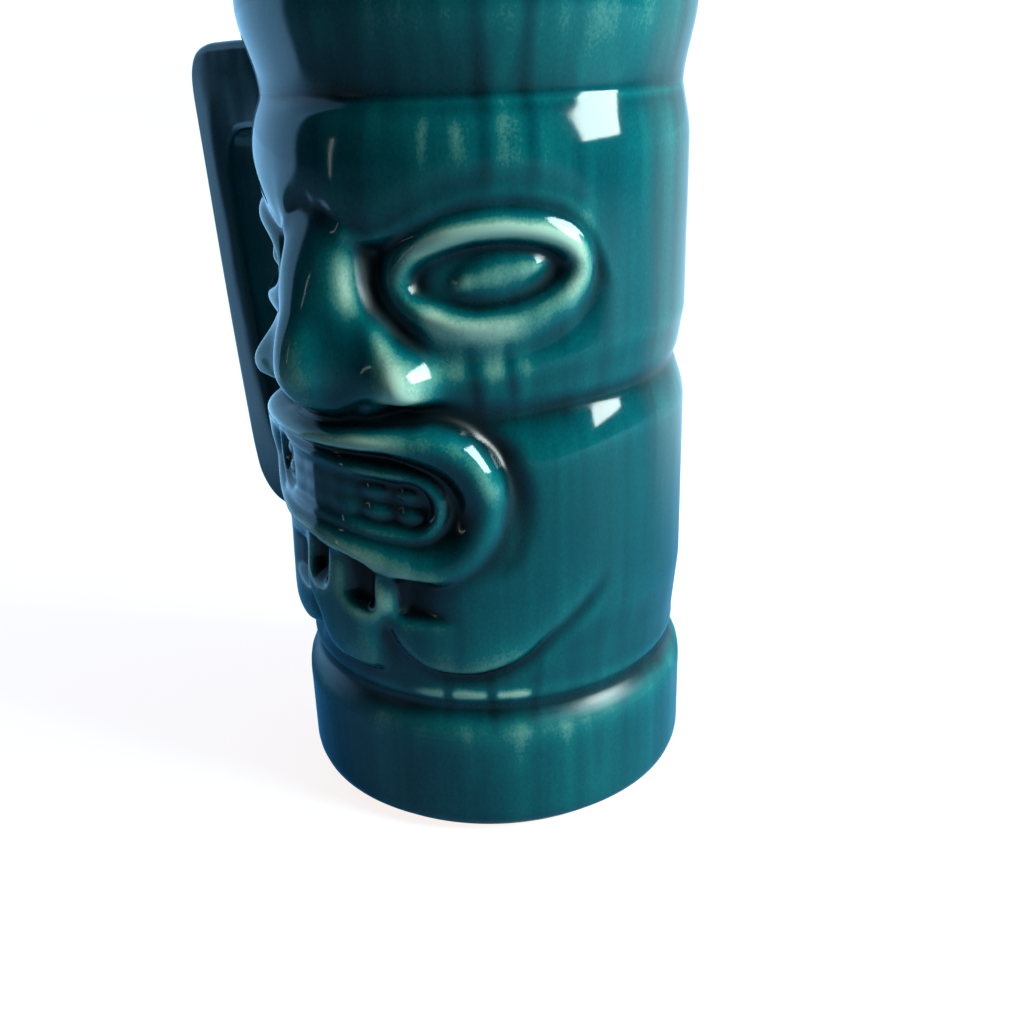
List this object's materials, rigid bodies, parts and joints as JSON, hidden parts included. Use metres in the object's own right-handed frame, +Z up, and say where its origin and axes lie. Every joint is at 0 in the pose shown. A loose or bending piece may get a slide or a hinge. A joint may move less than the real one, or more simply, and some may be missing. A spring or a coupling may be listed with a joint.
{
  "type": "tiki mug",
  "caption": "Tall slip-cast tiki mug: a glazed cylindrical shell with a stylised idol face in relief, a squared strap handle on one side and a flat bare foot.",
  "frame": {"origin": "centre of the foot's underside, on the mug's axis", "axes": "+Z up along the mug's axis, -Y out of the face, -X toward the handle"},
  "size_m": [0.115, 0.0912, 0.166],
  "materials": {
    "teal_glaze": "glossy translucent teal glaze, darker where it pools and pale green where it thins over edges",
    "bare_clay": "unglazed fired earthenware, matt"
  },
  "bodies": {
    "root": {"mug_body": "teal_glaze", "handle": "teal_glaze", "upper_handle_lute": "teal_glaze", "lower_handle_lute": "teal_glaze", "bare_foot": "bare_clay"}
  },
  "joints": []
}
